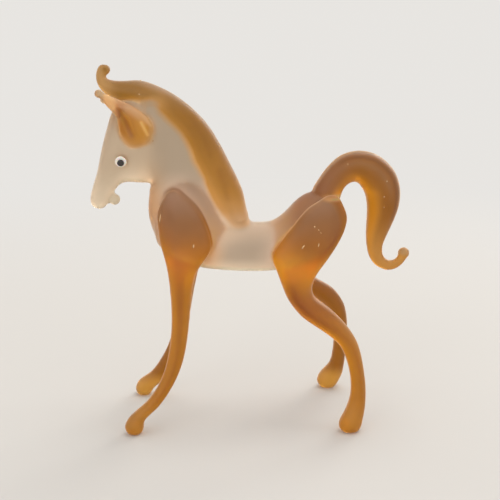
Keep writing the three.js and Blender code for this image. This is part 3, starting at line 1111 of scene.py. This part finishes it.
# A tiny spike on the crest, where the rod was pulled off. It has the shape of a short bubble.
SPIKE_AT = (-32.7, 103.0)
SPIKE_SEARCH_MM = 9  # how far above it the search for the skin starts
SPIKE_SIZE_MM = (0.5, 0.7)
SPIKE_LEAN = 90


def seed_bubble(middle, up, lean, long, wide):
    """The points of a tiny long bubble that lies in the skin."""
    along = Vector((math.sin(lean), 0, math.cos(lean)))
    along = (along - up * along.dot(up)).normalized()
    across = along.cross(up)
    places = []
    for i in range(BUBBLE_RINGS + 1):
        tilt = math.pi * (i / BUBBLE_RINGS - 0.5)
        for k in range(BUBBLE_SPOKES):
            turn = 2 * math.pi * k / BUBBLE_SPOKES
            ring = across * math.cos(turn) * wide + up * math.sin(turn) * wide * BUBBLE_DEPTH
            places.append(middle + (along * math.sin(tilt) * long + ring * math.cos(tilt)) / 2)
    return places


def seed_bubbles():
    """The near side has those that show in the photograph, and the far side has as many more."""
    tree = tree_of(skin)
    random = np.random.default_rng(FAR_DRAW)
    bubble = ring_faces(BUBBLE_RINGS, BUBBLE_SPOKES)
    places, faces = [], []

    def add(start, toward, lean, long, wide):
        found, up = tree.ray_cast(Vector(start) * MM, Vector(toward))[:2]
        if found is not None:
            base = len(places)
            places.extend(seed_bubble(found, up, math.radians(lean), long * MM, wide * MM))
            faces.extend(tuple(base + i for i in face) for face in bubble)

    for x, z, long, wide, lean in SEEDS:
        add((x, -BESIDE_MM, z), (0, 1, 0), lean, long, wide)
        shift_x, shift_z = random.uniform(-FAR_SHIFT_MM, FAR_SHIFT_MM, 2)
        far_lean = random.uniform(-FAR_LEAN, FAR_LEAN)
        add((x + shift_x, BESIDE_MM, z + shift_z), (0, -1, 0), far_lean, long, wide)
    x, z = SPIKE_AT
    add((x, MIDDLE_Y_MM, z + SPIKE_SEARCH_MM), (0, 0, -1), SPIKE_LEAN, *SPIKE_SIZE_MM)
    return closed_mesh("seeds", places, faces)


def bubble_glass():
    """A real seed bubble's glossy skin, painted pale for part of the glint of light that it catches."""
    paint = Paint("bubbles")
    colour = paint.mottled(tone(240, 198, 142), 0.5, 0.05)
    looks = {"Transmission_Weight": 0.2, "Coat_Weight": 0.5, "Coat_Roughness": 0.05}
    paint.show(paint.shader(colour, 0.15, **looks))
    return paint.material


seeds = bpy.data.objects.new("seed_bubbles", seed_bubbles())
bpy.context.scene.collection.objects.link(seeds)
seeds.data.materials.append(bubble_glass())
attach(seeds, "root")

dots = {"white_glass": white_glass(), "black_glass": black_glass()}
for name in DOTS:
    kind = "white_glass" if "white" in name else "black_glass"
    place_piece(name, dot(name), dots[kind])


# Floor, backdrop and light

CURVE_STEPS = 12


def backdrop(name, inner, outer, turn_up, height, steps=96):
    """A round sweep: flat from the inner to the outer radius, then curving up to its height."""
    profile = [(inner, 0.0), (outer, 0.0)]
    for i in range(1, CURVE_STEPS + 1 if turn_up else 0):
        angle = i / CURVE_STEPS * math.pi / 2
        profile.append((outer + turn_up * math.sin(angle), turn_up * (1 - math.cos(angle))))
    if height:
        profile.append((profile[-1][0], height))
    places = []
    for radius, z in profile:
        for k in range(steps):
            angle = 2 * math.pi * k / steps
            places.append((radius * math.cos(angle), radius * math.sin(angle), z))
    faces = ring_faces(len(profile) - 1, steps)
    if not turn_up:
        faces.append(tuple(reversed(range(steps))))
    mesh = bpy.data.meshes.new(name)
    mesh.from_pydata(places, [], faces)
    shade_smooth(mesh)
    made = bpy.data.objects.new(name, mesh)
    bpy.context.scene.collection.objects.link(made)
    return made


PAPER = (0.805, 0.785, 0.755, 1.0)
NEAR, FAR = 0.1, 0.5  # the floor turns from lit paper to evenly bright paper between these radii


def paper(name, bright):
    """Pale paper. Its far part has the same tone everywhere, however the lamps fall on it."""
    paint = Paint(name)
    glow = paint.node("ShaderNodeEmission")
    glow.inputs["Color"].default_value = PAPER
    if bright:
        paint.show(glow)
        return paint.material
    lit = paint.shader(tone(206, 203, 199), 0.9, Specular_IOR_Level=0.1)
    radius = paint.node("ShaderNodeVectorMath", operation="LENGTH")
    paint.links.new(paint.place(), radius.inputs[0])
    share = paint.node("ShaderNodeMapRange", interpolation_type="SMOOTHSTEP")
    share.inputs["From Min"].default_value = NEAR
    share.inputs["From Max"].default_value = FAR
    paint.links.new(radius.outputs["Value"], share.inputs["Value"])
    both = paint.node("ShaderNodeMixShader")
    paint.links.new(share.outputs["Result"], both.inputs[0])
    paint.links.new(lit.outputs[0], both.inputs[1])
    paint.links.new(glow.outputs[0], both.inputs[2])
    paint.show(both)
    return paint.material


FLOOR_RADIUS = 1.2
floor = backdrop("floor", inner=0.01, outer=FLOOR_RADIUS, turn_up=0, height=0)
floor.data.materials.append(paper("paper", False))
wall = backdrop("wall", inner=FLOOR_RADIUS, outer=FLOOR_RADIUS + 0.3, turn_up=0.8, height=3.5)
wall.data.materials.append(paper("far_paper", True))
for rays in ("visible_diffuse", "visible_glossy", "visible_shadow"):
    setattr(wall, rays, False)


LAMPS_AIM = Vector((0, 0, 0.06))


def softbox(name, place, size, power, colour=(1, 1, 1)):
    light = bpy.data.lights.new(name, "AREA")
    light.shape = "DISK"
    light.size = size
    light.energy = power
    light.color = colour
    lamp = bpy.data.objects.new(name, light)
    bpy.context.scene.collection.objects.link(lamp)
    lamp.location = place
    lamp.rotation_euler = (LAMPS_AIM - Vector(place)).to_track_quat("-Z", "Y").to_euler()


softbox("top", (0.3, 0.3, 1.5), size=1.0, power=7.0, colour=(1.0, 0.97, 0.93))
softbox("behind", (0.9, 1.1, 0.8), size=0.9, power=8.0, colour=(1.0, 0.96, 0.9))
softbox("front", (-0.8, -1.2, 0.8), size=1.0, power=2.5)

world = bpy.data.worlds.new("studio")
world.use_nodes = True
sky = world.node_tree.nodes["Background"]
sky.inputs["Color"].default_value = (1.0, 0.99, 0.97, 1.0)
sky.inputs["Strength"].default_value = 0.85
bpy.context.scene.world = world
bpy.context.scene.view_settings.view_transform = "Standard"

camera = bpy.data.cameras.new("camera")
camera.sensor_width = SENSOR_MM
camera.lens = SENSOR_MM * FOCAL_PIXELS / PICTURE_PIXELS
camera.clip_start = 0.01
eye = bpy.data.objects.new("camera", camera)
bpy.context.scene.collection.objects.link(eye)
eye.location = CAMERA_PLACE
eye.rotation_euler = (math.pi / 2 - CAMERA_DOWN, 0, CAMERA_TURN)
bpy.context.scene.camera = eye
